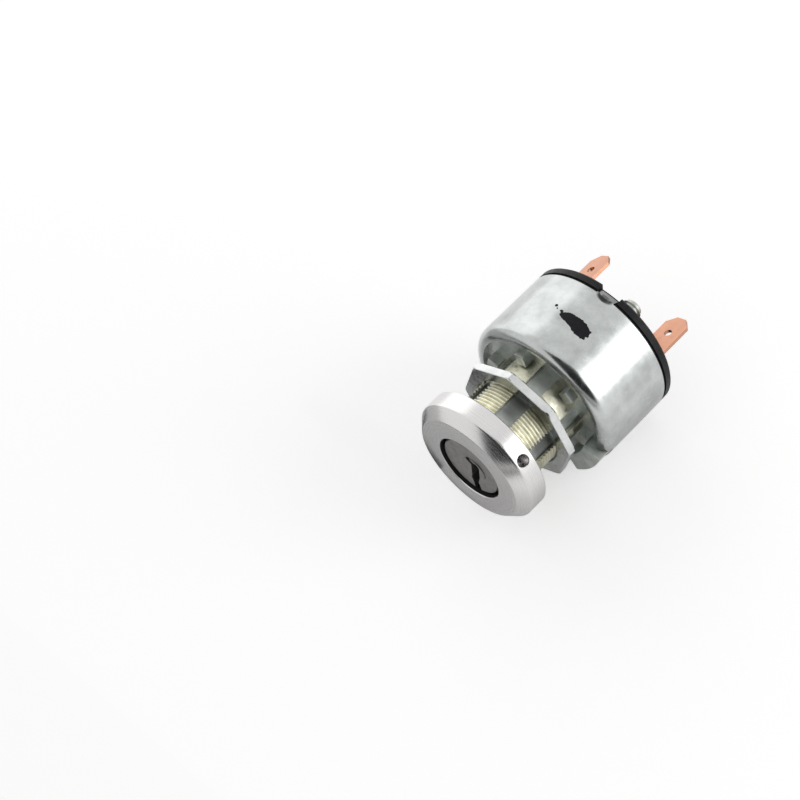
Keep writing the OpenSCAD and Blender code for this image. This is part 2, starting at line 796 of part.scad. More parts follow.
// Moulded contact carrier: driven by the tang, carries the plate, stopped by a lug
module rotor() {
    plate_play = 2 * fit_gap;
    color("#6b3f2a") front_to_minus_y() difference() {
        union() {
            rod(rotor_r, rotor_back, rotor_front);
            sector(rotor_r - over, stop_r, stop_at - stop_half, stop_at + stop_half,
                rotor_back, rotor_back + stop_h);
            translate([-boss_w / 2, -boss_w / 2, boss_back])
                cube([boss_w, boss_w, rotor_back + over - boss_back]);
            rod(pivot_r, pivot_back, boss_back + over);
        }
        translate([-tang_w / 2 - fit_gap, -tang_t / 2 - fit_gap, tang_back - plate_play])
            cube([tang_w + plate_play, tang_t + plate_play, rotor_front - tang_back + plate_play + over]);
        difference() {
            rod(return_well_out, return_well_back, rotor_front + over);
            rod(return_well_in, return_well_back - over, rotor_front + 2 * over);
        }
        return_leg_cut(return_to, 1, return_well_back, rotor_front + over);
        polar(ball_r, ball_at) rod(ball_bore_r, ball_bore_back, rotor_front + over);
        for (angle = contact_spring_angles)
            polar(contact_spring_at, angle) rod(contact_well_r, rotor_back - over, contact_well_front);
    }
}

// Copper sector that joins the battery contact to the others as it turns
module contact_plate() {
    hole_w = boss_w + 2 * fit_gap;
    color("#c07f55") front_to_minus_y() difference() {
        union() {
            rod(plate_hub_r, plate_back, plate_front);
            sector(plate_hub_r - over, plate_r, plate_from, plate_to, plate_back, plate_front);
        }
        translate([-hole_w / 2, -hole_w / 2, plate_back - over])
            cube([hole_w, hole_w, plate_t + 2 * over]);
    }
}

module contact_spring(i) {
    color("#d4d4d4") front_to_minus_y() polar(contact_spring_at, contact_spring_angles[i - 1])
        coil_spring(contact_spring_r, contact_wire, plate_front, contact_well_front, 4, 14, 6);
}

// Torsion spring: one leg held by the barrel, the other by the rotor
module return_spring() {
    turned = [for (i = [0:return_count]) let (a = return_from + 360 * i / return_steps)
        [return_r * cos(a), return_r * sin(a), return_front - return_pitch * i / return_steps]];
    fixed_leg = turned[0] + return_leg * [sin(return_from), -cos(return_from), 0];
    moving_leg = turned[return_count] + return_leg * [-sin(return_to), cos(return_to), 0];
    color("#c4c4c8") front_to_minus_y() wire(concat([fixed_leg], turned, [moving_leg]), return_wire / 2, 8);
}

module detent_ball() {
    color("#dcdcdc") front_to_minus_y() polar(ball_r, ball_at) translate([0, 0, ball_mid]) sphere(d = ball_d);
}

module detent_spring() {
    color("#d4d4d4") front_to_minus_y() polar(ball_r, ball_at)
        coil_spring(detent_spring_r, detent_wire, ball_bore_back, ball_mid - ball_d / 2 * 0.75, 3, 12, 6);
}

bezel_ring();
jam_nut();
lock_barrel();
can();
terminal_base();
ignition_blade();
start_blade();
ignition_contact();
start_contact();
battery_stud();
battery_contact();
key_plug();
for (i = [1:wafer_count]) wafer(i);
for (i = [1:wafer_count]) wafer_spring(i);
plug_clip();
rotor();
contact_plate();
for (i = [1:3]) contact_spring(i);
return_spring();
detent_ball();
detent_spring();
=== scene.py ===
import math

import bmesh
import bpy
from mathutils import Matrix, Vector, noise
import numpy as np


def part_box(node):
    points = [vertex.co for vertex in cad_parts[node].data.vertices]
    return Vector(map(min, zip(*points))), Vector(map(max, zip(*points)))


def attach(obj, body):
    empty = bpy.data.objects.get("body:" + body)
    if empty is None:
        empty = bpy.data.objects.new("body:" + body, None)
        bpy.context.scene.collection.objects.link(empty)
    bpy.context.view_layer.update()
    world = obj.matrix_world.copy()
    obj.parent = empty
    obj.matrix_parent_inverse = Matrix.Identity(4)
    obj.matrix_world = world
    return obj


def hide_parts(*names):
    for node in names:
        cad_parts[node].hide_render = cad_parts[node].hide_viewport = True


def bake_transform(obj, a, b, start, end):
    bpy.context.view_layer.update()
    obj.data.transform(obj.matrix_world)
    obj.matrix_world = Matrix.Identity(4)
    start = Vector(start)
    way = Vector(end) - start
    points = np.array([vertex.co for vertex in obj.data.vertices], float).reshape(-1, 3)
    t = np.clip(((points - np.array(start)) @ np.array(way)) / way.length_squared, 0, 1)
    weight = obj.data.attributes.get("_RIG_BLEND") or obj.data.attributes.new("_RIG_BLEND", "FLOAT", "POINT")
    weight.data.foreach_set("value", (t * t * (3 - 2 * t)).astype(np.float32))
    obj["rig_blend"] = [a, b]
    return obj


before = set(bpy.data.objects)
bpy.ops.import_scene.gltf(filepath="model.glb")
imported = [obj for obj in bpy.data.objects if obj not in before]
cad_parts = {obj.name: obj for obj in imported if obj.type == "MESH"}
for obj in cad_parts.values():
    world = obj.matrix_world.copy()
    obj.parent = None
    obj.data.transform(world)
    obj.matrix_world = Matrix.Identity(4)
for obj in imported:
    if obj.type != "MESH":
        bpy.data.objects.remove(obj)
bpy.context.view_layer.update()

bl_info = {
    "name": "Ignition switch looks",
    "version": (1, 0, 0),
    "blender": (4, 5, 0),
    "location": "View3D > Sidebar > Switch",
    "description": "Builds the ring, nut, barrel, stud, springs, paint mark and finishes "
                   "of a panel ignition switch",
    "category": "Object",
}

MM = 0.001
FULL_TURN = 2 * math.pi
X, Y = 0, 1

# Bodies of the frame
FIXED = "housing"
TURNING = "key_rotor"
DETENT = "detent"


def span(node, axis):
    """Where a node begins and ends along an axis, in millimetres"""
    low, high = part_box(node)
    return low[axis] / MM, high[axis] / MM


# Sizes read from the frame, in millimetres. Y grows from the key face to the terminals.
BARREL_FRONT = span("lock_barrel", Y)[0]
CAN_R = span("can", X)[1]
STUD_TIP = span("battery_stud", Y)[1]
BASE_BACK = span("terminal_base", Y)[1]
RING_FRONT = span("bezel_ring", Y)[0]
RING_R = span("bezel_ring", X)[1]
NUT_FRONT, NUT_BACK = span("jam_nut", Y)

# Heights that no node's box gives, in millimetres
FLANGE_FACE = 17.35
CAN_BACK = 35.2


class SwitchSizes(bpy.types.PropertyGroup):
    """Sizes of the pieces that are modelled here"""
    thread_radius: bpy.props.FloatProperty(
        name="Thread radius", description="Radius over the barrel's thread",
        default=11 * MM, min=9 * MM, max=12 * MM, unit="LENGTH", precision=4)
    thread_pitch: bpy.props.FloatProperty(
        name="Thread pitch", description="Distance between the barrel's thread ridges",
        default=0.85 * MM, min=0.5 * MM, max=1.5 * MM, unit="LENGTH", precision=5)
    thread_depth: bpy.props.FloatProperty(
        name="Thread depth", description="Depth of the barrel's thread",
        default=0.5 * MM, min=0.2 * MM, max=0.8 * MM, unit="LENGTH", precision=5)
    flat_width: bpy.props.FloatProperty(
        name="Flat width", description="Width of the flats that interrupt the thread",
        default=4.5 * MM, min=2 * MM, max=6 * MM, unit="LENGTH", precision=4)
    flat_depth: bpy.props.FloatProperty(
        name="Flat depth", description="Depth of the flats below the thread's ridges",
        default=1.2 * MM, min=0.4 * MM, max=1.5 * MM, unit="LENGTH", precision=4)
    stud_pitch: bpy.props.FloatProperty(
        name="Stud pitch", description="Distance between the battery stud's thread ridges",
        default=0.8 * MM, min=0.5 * MM, max=1.2 * MM, unit="LENGTH", precision=5)
    paint_thickness: bpy.props.FloatProperty(
        name="Paint thickness", description="Thickness of the black paint mark on the can",
        default=0.03 * MM, min=0.01 * MM, max=0.1 * MM, unit="LENGTH", precision=5)


class SwitchColours(bpy.types.PropertyGroup):
    """Base colours of the finishes"""
    can: bpy.props.FloatVectorProperty(
        name="Can", description="Zinc plate on the can", subtype="COLOR", size=3,
        default=(0.50, 0.52, 0.51), min=0, max=1)
    ring: bpy.props.FloatVectorProperty(
        name="Ring", description="Turned aluminium of the bezel ring", subtype="COLOR", size=3,
        default=(0.68, 0.67, 0.665), min=0, max=1)
    nut: bpy.props.FloatVectorProperty(
        name="Nut", description="Bright zinc of the jam nut", subtype="COLOR", size=3,
        default=(0.60, 0.615, 0.61), min=0, max=1)
    barrel: bpy.props.FloatVectorProperty(
        name="Barrel", description="Greenish die-cast metal of the barrel", subtype="COLOR", size=3,
        default=(0.57, 0.60, 0.57), min=0, max=1)
    thread: bpy.props.FloatVectorProperty(
        name="Thread", description="Yellowish plate on the barrel's thread",
        subtype="COLOR", size=3, default=(0.78, 0.765, 0.62), min=0, max=1)
    plug: bpy.props.FloatVectorProperty(
        name="Plug", description="Grey die-cast metal of the key plug", subtype="COLOR", size=3,
        default=(0.34, 0.33, 0.32), min=0, max=1)
    copper: bpy.props.FloatVectorProperty(
        name="Copper", description="Copper of the blades", subtype="COLOR", size=3,
        default=(0.55, 0.285, 0.19), min=0, max=1)
    moulding: bpy.props.FloatVectorProperty(
        name="Moulding", description="Black moulding of the terminal base", subtype="COLOR", size=3,
        default=(0.012, 0.013, 0.014), min=0, max=1)
    paint: bpy.props.FloatVectorProperty(
        name="Paint", description="Black paint mark", subtype="COLOR", size=3,
        default=(0.010, 0.010, 0.012), min=0, max=1)


# Most of a grain's values lie between these two
GRAIN_LOW, GRAIN_HIGH = 0.3, 0.7
# Colours that the panel doesn't list
STUD_GREY = (0.46, 0.475, 0.44)
SPRING_GREY = (0.5, 0.5, 0.52)
BRASS_YELLOW = (0.72, 0.55, 0.26)
ROTOR_BROWN = (0.13, 0.055, 0.03)
# Painted shadow in the ring's opening and the barrel's mouth
BORE_SHADOW_BLACK = (0.02, 0.02, 0.019)


def shaded(colour, shade):
    """Colour made darker or lighter"""
    return tuple(c * shade for c in colour)


class Finish:
    """A metal, plastic or paint finish whose nodes are added one by one"""

    def __init__(self, name, colour, metallic, roughness):
        self.material = bpy.data.materials.new(name)
        self.material.use_nodes = True
        self.material.diffuse_color = (*colour, 1)
        self.nodes = self.material.node_tree.nodes
        self.links = self.material.node_tree.links
        self.shader = self.nodes["Principled BSDF"]
        self.colour = tuple(colour)
        self.shader.inputs["Base Color"].default_value = (*colour, 1)
        self.shader.inputs["Metallic"].default_value = metallic
        self.shader.inputs["Roughness"].default_value = roughness
        self.normal = None

    def place(self):
        """Place on the piece"""
        return self.nodes.new("ShaderNodeTexCoord").outputs["Object"]

    def stretched(self, scale):
        """Place on the piece, scaled along each axis"""
        node = self.nodes.new("ShaderNodeMapping")
        node.inputs["Scale"].default_value = scale
        self.links.new(self.place(), node.inputs["Vector"])
        return node.outputs["Vector"]

    def axes(self):
        """Place on the piece as X, Y and Z"""
        split = self.nodes.new("ShaderNodeSeparateXYZ")
        self.links.new(self.place(), split.inputs[0])
        return split.outputs

    def radius(self):
        """Distance from the barrel's axis"""
        x, _, z = self.axes()
        return self.math("POWER", self.math("ADD", self.square(x), self.square(z)), 0.5)

    def grain(self, scale, detail=4, rough=0.55, vector=None):
        """Uneven spots, the finer the larger the scale"""
        node = self.nodes.new("ShaderNodeTexNoise")
        node.inputs["Scale"].default_value = scale
        node.inputs["Detail"].default_value = detail
        node.inputs["Roughness"].default_value = rough
        self.links.new(vector or self.place(), node.inputs["Vector"])
        return node.outputs["Fac"]

    def turned(self, scale, detail=3):
        """Fine lines of turning: they follow the distance from the axis plus the height on it"""
        node = self.nodes.new("ShaderNodeTexNoise")
        node.noise_dimensions = "1D"
        node.inputs["Scale"].default_value = scale
        node.inputs["Detail"].default_value = detail
        self.links.new(self.math("ADD", self.radius(), self.axes()["Y"]), node.inputs["W"])
        return node.outputs["Fac"]

    def math(self, kind, a, b):
        """Result of a calculation with two values, each a number or a node's output"""
        node = self.nodes.new("ShaderNodeMath")
        node.operation = kind
        for value, socket in zip((a, b), node.inputs):
            if isinstance(value, (int, float)):
                socket.default_value = value
            else:
                self.links.new(value, socket)
        return node.outputs[0]

    def square(self, value):
        """Value times itself"""
        return self.math("MULTIPLY", value, value)

    def range(self, value, low, high, start=GRAIN_LOW, end=GRAIN_HIGH):
        """Goes from low to high while the value goes from start to end"""
        node = self.nodes.new("ShaderNodeMapRange")
        node.inputs["From Min"].default_value = start
        node.inputs["From Max"].default_value = end
        node.inputs["To Min"].default_value = low
        node.inputs["To Max"].default_value = high
        self.links.new(value, node.inputs["Value"])
        return node.outputs["Result"]

    def rise(self, value, start, end):
        """Goes from 0 to 1"""
        return self.range(value, 0, 1, start, end)

    def fall(self, value, start, end):
        """Goes from 1 to 0"""
        return self.range(value, 1, 0, start, end)

    def tint(self, value, dark, light, start=GRAIN_LOW, end=GRAIN_HIGH):
        """Colour between two shades of the base colour"""
        node = self.nodes.new("ShaderNodeValToRGB")
        ramp = node.color_ramp
        ramp.elements[0].position = start
        ramp.elements[1].position = end
        for element, shade in zip(ramp.elements, (dark, light)):
            element.color = (*shaded(self.colour, shade), 1)
        self.links.new(value, node.inputs["Fac"])
        return node.outputs["Color"]

    def mix(self, value, first, second):
        """First colour where the value is 0, second where it is 1"""
        node = self.nodes.new("ShaderNodeMix")
        node.data_type = "RGBA"
        self.links.new(value, node.inputs["Factor"])
        for given, socket in ((first, node.inputs["A"]), (second, node.inputs["B"])):
            if isinstance(given, tuple):
                socket.default_value = (*given, 1)
            else:
                self.links.new(given, socket)
        return node.outputs["Result"]

    def shine(self, amount):
        """Strength of the reflection on plastic, paint or oil"""
        self.shader.inputs["Specular IOR Level"].default_value = amount

    def set(self, socket, value):
        """Connects a value to one of the finish's settings"""
        self.links.new(value, self.shader.inputs[socket])

    def bump(self, value, strength, distance):
        """Small relief on top of the reliefs before it"""
        node = self.nodes.new("ShaderNodeBump")
        node.inputs["Strength"].default_value = strength
        node.inputs["Distance"].default_value = distance
        self.links.new(value, node.inputs["Height"])
        if self.normal:
            self.links.new(self.normal, node.inputs["Normal"])
        self.normal = node.outputs["Normal"]
        self.set("Normal", self.normal)


# Crimp tabs of the can: the first one's angle and the angle between two, in degrees,
# where the bend starts and ends behind the can's back edge, and the shade of the painted dark reflection on
# the bend
TAB_ANGLE, TAB_SECTOR = 76, 120
TAB_START, TAB_END, TAB_PAINTED_REFLECTION = 0.05, 0.3, 0.3
# Painted shade in the dents that the crimping left: half width and length, where its edge gets soft, and its
# shade
DENT_HALF, DENT_LENGTH = 2.3, 1.3
DENT_SOFT, DENT_PAINTED_SHADE = 0.45, 0.08


def zinc_plate(colour):
    """Plate of the can, with painted shade in the dents that the crimping left and a painted dark reflection
    on the bent tabs
    """
    finish = Finish("zinc_plate", colour, metallic=1.0, roughness=0.26)
    cloud = finish.grain(210, detail=6, rough=0.62)
    plate = finish.tint(cloud, dark=0.84, light=1.14, start=0.34, end=0.66)
    x, y, z = finish.axes()
    turn = finish.math("SUBTRACT", finish.math("ARCTAN2", z, x), math.radians(TAB_ANGLE))
    off_tab = finish.math("PINGPONG", turn, math.radians(TAB_SECTOR / 2))
    across = finish.math("MULTIPLY", off_tab, CAN_R / DENT_HALF)
    along = finish.math("DIVIDE", finish.math("SUBTRACT", CAN_BACK * MM, y), DENT_LENGTH * MM)
    reach = finish.math("ADD", finish.square(across), finish.square(along))
    # Painted shade in the dents beside the crimp tabs
    dent_painted_shade = finish.mix(finish.fall(reach, DENT_SOFT, 1), plate, shaded(colour, DENT_PAINTED_SHADE))
    # Painted dark reflection on the bent tabs
    tab_dark_reflection = finish.rise(y, (CAN_BACK + TAB_START) * MM, (CAN_BACK + TAB_END) * MM)
    finish.set("Base Color", finish.mix(tab_dark_reflection, dent_painted_shade, shaded(colour, TAB_PAINTED_REFLECTION)))
    finish.set("Roughness", finish.range(finish.grain(420, detail=5), low=0.16, high=0.3))
    finish.bump(finish.grain(150, detail=1), strength=0.08, distance=0.4 * MM)
    drawn = finish.grain(700, detail=1, vector=finish.stretched((1, 0.1, 1)))
    finish.bump(drawn, strength=0.03, distance=0.05 * MM)
    return finish.material


def turned_aluminium(colour):
    """Bezel ring, with the fine lines of turning"""
    finish = Finish("turned_aluminium", colour, metallic=1.0, roughness=0.32)
    lines = finish.turned(5200)
    finish.set("Base Color", finish.tint(lines, dark=0.96, light=1.04))
    finish.set("Roughness", finish.range(finish.turned(2600), low=0.22, high=0.3))
    finish.bump(lines, strength=0.03, distance=0.02 * MM)
    return finish.material


def bright_zinc(colour):
    """Plate of the jam nut"""
    finish = Finish("bright_zinc", colour, metallic=1.0, roughness=0.2)
    finish.set("Base Color", finish.tint(finish.grain(260, detail=5), dark=0.86, light=1.14))
    finish.set("Roughness", finish.range(finish.grain(700), low=0.16, high=0.3))
    finish.bump(finish.grain(380, detail=2), strength=0.04, distance=0.15 * MM)
    return finish.material


def painted_shadow_bore():
    """Metal inside the ring's opening and the barrel's mouth, dark with painted shadow"""
    finish = Finish("painted_shadow_bore", BORE_SHADOW_BLACK, metallic=0.0, roughness=0.6)
    finish.shine(0.2)
    finish.set("Base Color", finish.tint(finish.grain(900), dark=0.7, light=1.3))
    return finish.material


# Painted shade on the barrel: its shade, the radii over which it thins out, and the heights over which it
# sets in behind the ring, all in millimetres. It ends at the nut.
RECESS_PAINTED_SHADE = 0.27
PAINTED_SHADE_RADII = 9.8, 10.9
PAINTED_SHADE_HEIGHTS = 0.5, 4.5


def diecast(name, colour, metallic):
    """Cast metal, with painted shade in front of the nut, low down in the flats and the thread"""
    finish = Finish(name, colour, metallic, roughness=0.36)
    metal = finish.tint(finish.grain(330, detail=6, rough=0.6), dark=0.78, light=1.16)
    low = finish.fall(finish.radius(), *(r * MM for r in PAINTED_SHADE_RADII))
    height = finish.axes()["Y"]
    ahead = finish.math("MULTIPLY", finish.rise(height, *(y * MM for y in PAINTED_SHADE_HEIGHTS)),
                        finish.fall(height, NUT_FRONT * MM, NUT_BACK * MM))
    # Painted shade, low on the barrel between the ring and the nut
    painted_shade = finish.math("MULTIPLY", low, ahead)
    finish.set("Base Color", finish.mix(painted_shade, metal, shaded(colour, RECESS_PAINTED_SHADE)))
    finish.set("Roughness", finish.range(finish.grain(900), low=0.26, high=0.5))
    finish.bump(finish.grain(1300), strength=0.16, distance=0.08 * MM)
    return finish.material


def plug_metal(colour):
    """Cast metal of the key plug"""
    finish = Finish("plug_metal", colour, metallic=1.0, roughness=0.42)
    finish.set("Base Color", finish.tint(finish.grain(700, detail=5), dark=0.85, light=1.12))
    finish.set("Roughness", finish.range(finish.grain(1500, detail=3), low=0.36, high=0.5))
    finish.bump(finish.grain(2400, detail=3), strength=0.08, distance=0.04 * MM)
    return finish.material


def sheet_copper(colour):
    """Rolled copper, with its grain along the axis"""
    finish = Finish("sheet_copper", colour, metallic=1.0, roughness=0.34)
    lines = finish.grain(300, detail=5, vector=finish.stretched((1, 0.12, 1)))
    finish.set("Base Color", finish.tint(lines, dark=0.88, light=1.12))
    finish.set("Roughness", finish.range(finish.grain(900), low=0.28, high=0.42))
    finish.bump(lines, strength=0.06, distance=0.05 * MM)
    return finish.material


def black_moulding(colour):
    """Speckled black plastic of the terminal base"""
    finish = Finish("black_moulding", colour, metallic=0.0, roughness=0.42)
    finish.shine(0.2)
    specks = finish.grain(1600, detail=5, rough=0.7)
    finish.set("Base Color", finish.tint(specks, dark=0.6, light=1.7, start=0.4, end=0.72))
    finish.set("Roughness", finish.range(finish.grain(500), low=0.36, high=0.52))
    finish.bump(specks, strength=0.06, distance=0.05 * MM)
    return finish.material


def black_paint(colour):
    """Brushed paint of the mark"""
    finish = Finish("black_paint", colour, metallic=0.0, roughness=0.5)
    finish.shine(0.15)
    strokes = finish.grain(900, detail=5)
    finish.set("Base Color", finish.tint(strokes, dark=0.7, light=1.6))
    finish.bump(strokes, strength=0.2, distance=0.03 * MM)
    return finish.material


def plain_metal(name, colour, roughness):
    """Metal of the stud and of the small inner pieces"""
    finish = Finish(name, colour, metallic=1.0, roughness=roughness)
    finish.set("Base Color", finish.tint(finish.grain(500), dark=0.85, light=1.1))
    dull = finish.range(finish.grain(1200), low=roughness * 0.85, high=roughness * 1.2)
    finish.set("Roughness", dull)
    return finish.material


def brown_moulding():
    """Plastic of the rotor"""
    finish = Finish("brown_moulding", ROTOR_BROWN, metallic=0.0, roughness=0.5)
    finish.set("Base Color", finish.tint(finish.grain(900, detail=5), dark=0.7, light=1.3))
    finish.bump(finish.grain(1800), strength=0.06, distance=0.05 * MM)
    return finish.material


# In metres: points of a mesh closer than this become one, and points this close to a cut lie on it
WELD_DISTANCE = 1e-7
CUT_DISTANCE = 1e-8
# Edges that turn by more than this, in radians, are rounded
SHARP_TURN = 0.6


# Profiles lie in the XY plane, with X the radius and Y the height on the barrel's axis
def at_angle(degrees):
    """Turn about the barrel's axis, from +X towards +Z"""
    return Matrix.Rotation(-math.radians(degrees), 4, "Y")


def from_axis(point):
    """Distance from the barrel's axis"""
    return math.hypot(point.x, point.z)


def loop(bm, points, closed=True):
    """Points and edges of a profile"""
    verts = [bm.verts.new((r * MM, y * MM, 0)) for r, y in points]
    following = verts[1:] + verts[:1] if closed else verts[1:]
    edges = [bm.edges.new(pair) for pair in zip(verts, following)]
    return verts + edges


def clean(bm):
    """Joins doubled points and turns all faces outward"""
    bmesh.ops.remove_doubles(bm, verts=bm.verts, dist=WELD_DISTANCE)
    bmesh.ops.recalc_face_normals(bm, faces=bm.faces)


def close_holes(bm):
    """Puts a face in every opening"""
    bmesh.ops.holes_fill(bm, edges=[e for e in bm.edges if e.is_boundary], sides=0)


def turned_solid(points, steps, closed=True):
    """Profile turned all the way round: a closed one, or an open one that ends on the axis"""
    bm = bmesh.new()
    bmesh.ops.spin(bm, geom=loop(bm, points, closed), cent=(0, 0, 0), axis=(0, -1, 0),
                   dvec=(0, 0, 0), angle=FULL_TURN, steps=steps, use_merge=True)
    clean(bm)
    return bm


def turned_sector(points, start, end, steps, lead):
    """Closed profile turned from one angle to another, rising by the lead for each full turn"""
    bm = bmesh.new()
    geom = loop(bm, points)
    turn = math.radians(end - start)
    rise = Vector((0, lead * MM * (end - start) / 360 / steps, 0))
    bmesh.ops.transform(bm, matrix=at_angle(start), verts=bm.verts)
    bmesh.ops.spin(bm, geom=geom, cent=(0, 0, 0), axis=(0, -1, 0), dvec=rise, angle=turn,
                   steps=steps)
    clean(bm)
    close_holes(bm)
    clean(bm)
    return bm


def slice_off(bm, point, outward):
    """Cuts away what lies beyond a plane and closes the cut"""
    geom = bm.verts[:] + bm.edges[:] + bm.faces[:]
    bmesh.ops.bisect_plane(bm, geom=geom, dist=CUT_DISTANCE, plane_co=point, plane_no=outward,
                           clear_outer=True)
    close_holes(bm)


def add_to(target, source):
    """Moves one mesh into another"""
    mesh = bpy.data.meshes.new("scratch")
    source.to_mesh(mesh)
    source.free()
    target.from_mesh(mesh)
    bpy.data.meshes.remove(mesh)


def soften(bm, width):
    """Rounds the sharp edges"""
    edges = [e for e in bm.edges if e.is_manifold and e.calc_face_angle(0) > SHARP_TURN]
    bmesh.ops.bevel(bm, geom=edges, offset=width * MM, offset_type="OFFSET", segments=2,
                    profile=0.5, affect="EDGES", material=-1, clamp_overlap=True)


def make_piece(name, bm, materials, body, smooth_angle):
    """Turns a mesh into a piece, which rides on a body if one is given"""
    mesh = bpy.data.meshes.new(name)
    bm.to_mesh(mesh)
    bm.free()
    # The frame's solids bring normals of their own, which no longer fit
    for old in [a for a in mesh.attributes if a.name == "custom_normal"]:
        mesh.attributes.remove(old)
    mesh.shade_smooth()
    mesh.set_sharp_from_angle(angle=math.radians(smooth_angle))
    for material in materials:
        mesh.materials.append(material)
    piece = bpy.data.objects.new(name, mesh)
    bpy.context.scene.collection.objects.link(piece)
    if body:
        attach(piece, body)
    return piece


def dress(node, material):
    """Gives a solid of the frame its finish"""
    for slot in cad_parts[node].material_slots:
        slot.material = material


# Thread tooth: half width of its crest and of its root, as shares of the pitch
CREST_HALF, ROOT_HALF = 0.07, 0.10
# Smooth stretch behind a thread: how far it lies below the crest, and the way up to it
SMOOTH_DROP, SMOOTH_RISE = 0.12, 0.3


def thread_profile(crest, root, inner, pitch, front, end, back):
    """Toothed outline of a thread, smooth behind its end, closed along its inner side"""
    teeth = int((end - front) / pitch)
    crest_half, root_half = CREST_HALF * pitch, ROOT_HALF * pitch
    points = [(inner, front), (root, front)]
    for i in range(teeth):
        y = front + i * pitch
        points += [(root, y + root_half), (crest, y + pitch / 2 - crest_half),
                   (crest, y + pitch / 2 + crest_half), (root, y + pitch - root_half)]
    if back > end:
        smooth = crest - SMOOTH_DROP
        points += [(smooth, front + teeth * pitch + SMOOTH_RISE), (smooth, back), (inner, back)]
    else:
        points += [(root, back), (inner, back)]
    return points


# Flats of the barrel: how many, the first one's angle and the angle between two, in degrees
FLAT_COUNT, FLAT_START = 6, 12
SECTOR = 360 / FLAT_COUNT
# Thread between two flats: turning steps, and the extra degrees that the flats cut off again
SECTOR_STEPS, SECTOR_EXTRA = 14, 3
# Its heights in millimetres: front, end of the teeth, and back inside the flange
THREAD_FRONT, THREAD_END, THREAD_BACK = BARREL_FRONT + 0.3, NUT_BACK + 1.6, FLANGE_FACE + 0.4
# How deep the thread reaches below the flats, and the core below the thread's root
THREAD_FOOT, CORE_DROP = 0.6, 0.2
# Slack for finding the plain stretches of the solid: on their radius and their height
RADIUS_SLACK, HEIGHT_SLACK = 0.02, 0.01
# The mouth, dark with painted shadow, lies in front of this height and within this radius
MOUTH_BACK, MOUTH_R = -2.0, 8.9
# Places in the barrel's list of materials, after the cast metal: the plated thread, then the painted shadow
# of the mouth
PLATED, SHADOWED_MOUTH = 1, 2


class SWITCH_OT_barrel(bpy.types.Operator):
    """Builds the die-cast barrel with its interrupted thread, flange and lugs"""
    bl_idname = "switch.barrel"
    bl_label = "Barrel"

    def execute(self, context):
        sizes = context.scene.switch_sizes
        colours = context.scene.switch_colours
        crest = sizes.thread_radius / MM
        root = crest - sizes.thread_depth / MM
        barrel = bmesh.new()
        barrel.from_mesh(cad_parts["lock_barrel"].data)
        clean(barrel)
        self.turn_down(barrel, crest, root - CORE_DROP)
        add_to(barrel, self.thread(sizes, crest, root))
        # Painted shadow in the barrel's mouth
        for face in barrel.faces:
            spot = face.calc_center_median() / MM
            if spot.y < MOUTH_BACK and from_axis(spot) < MOUTH_R:
                face.material_index = SHADOWED_MOUTH
        materials = [diecast("diecast", colours.barrel, metallic=0.78),
                     diecast("plated_thread", colours.thread, metallic=1.0), painted_shadow_bore()]
        piece = make_piece("barrel", barrel, materials, FIXED, smooth_angle=35)
        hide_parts("lock_barrel")
        return {"FINISHED"}

    def thread(self, sizes, crest, root):
        """Six stretches of thread between the flats"""
        pitch = sizes.thread_pitch / MM
        floor = crest - sizes.flat_depth / MM
        half = sizes.flat_width / MM / 2
        middle = FLAT_START + SECTOR / 2
        reach = SECTOR / 2 - math.degrees(math.asin(half / crest)) + SECTOR_EXTRA
        profile = thread_profile(crest, root, floor - THREAD_FOOT, pitch,
                                 THREAD_FRONT, THREAD_END, THREAD_BACK)
        bm = turned_sector(profile, middle - reach, middle + reach, SECTOR_STEPS, pitch)
        for flat, way in ((middle + SECTOR / 2, 1), (middle - SECTOR / 2, -1)):
            side = at_angle(flat) @ Vector((0, 0, 1)) * way
            slice_off(bm, side * -half * MM, side)
        clean(bm)
        for face in bm.faces:
            face.material_index = PLATED
        first = bm.verts[:] + bm.edges[:] + bm.faces[:]
        for i in range(1, FLAT_COUNT):
            copy = bmesh.ops.duplicate(bm, geom=first)
            verts = [v for v in copy["geom"] if isinstance(v, bmesh.types.BMVert)]
            lift = Matrix.Translation((0, pitch * MM * i / FLAT_COUNT, 0))
            bmesh.ops.transform(bm, matrix=lift @ at_angle(i * SECTOR), verts=verts)
        return bm

    def turn_down(self, bm, crest, core):
        """Takes the plain stretches down to a core, which the thread then covers"""
        back = (FLANGE_FACE + HEIGHT_SLACK) * MM
        for vert in bm.verts:
            radius = from_axis(vert.co) / MM
            if core < radius < crest + RADIUS_SLACK and vert.co.y < back:
                vert.co.x *= core / radius
                vert.co.z *= core / radius
        bmesh.ops.recalc_face_normals(bm, faces=bm.faces)


RING_BORE = 11.1
RING_STEPS = 192
# Spanner holes: angle in degrees, then height, radius, depth and bevel in millimetres
HOLE_ANGLE, HOLE_Y, HOLE_R, HOLE_DEPTH, HOLE_BEVEL = 34, -2.5, 1.4, 3.0, 0.15
# Patch of the ring's side that a hole replaces: heights, rows of faces, and slack on the radius
SIDE_FRONT, SIDE_BACK = -4.3, -0.2
HOLE_CELLS = 8
SIDE_STEP = (SIDE_FRONT - SIDE_BACK) / HOLE_CELLS
SIDE_SLACK = 0.05
# Faces of the opening further back than this below the front face get a painted shadow
OPENING_EDGE = 0.1
# Profile: radius and height of each corner, from the back round the outside to the opening
RING_PROFILE = [
    (RING_BORE, 0), (RING_R - 0.15, 0),
    *((RING_R, SIDE_BACK + i * SIDE_STEP) for i in range(HOLE_CELLS + 1)),
    (RING_R - 0.05, -4.5), (RING_R - 0.18, -4.72),
    (13.55, -6.82), (13.42, -6.93), (13.25, RING_FRONT),
    (8.5, RING_FRONT), (8.35, -6.85), (8.35, -4.8), (RING_BORE, -4.8),
]
# Place of the painted shadow in the ring's list of materials, after the aluminium
SHADOWED_OPENING = 1


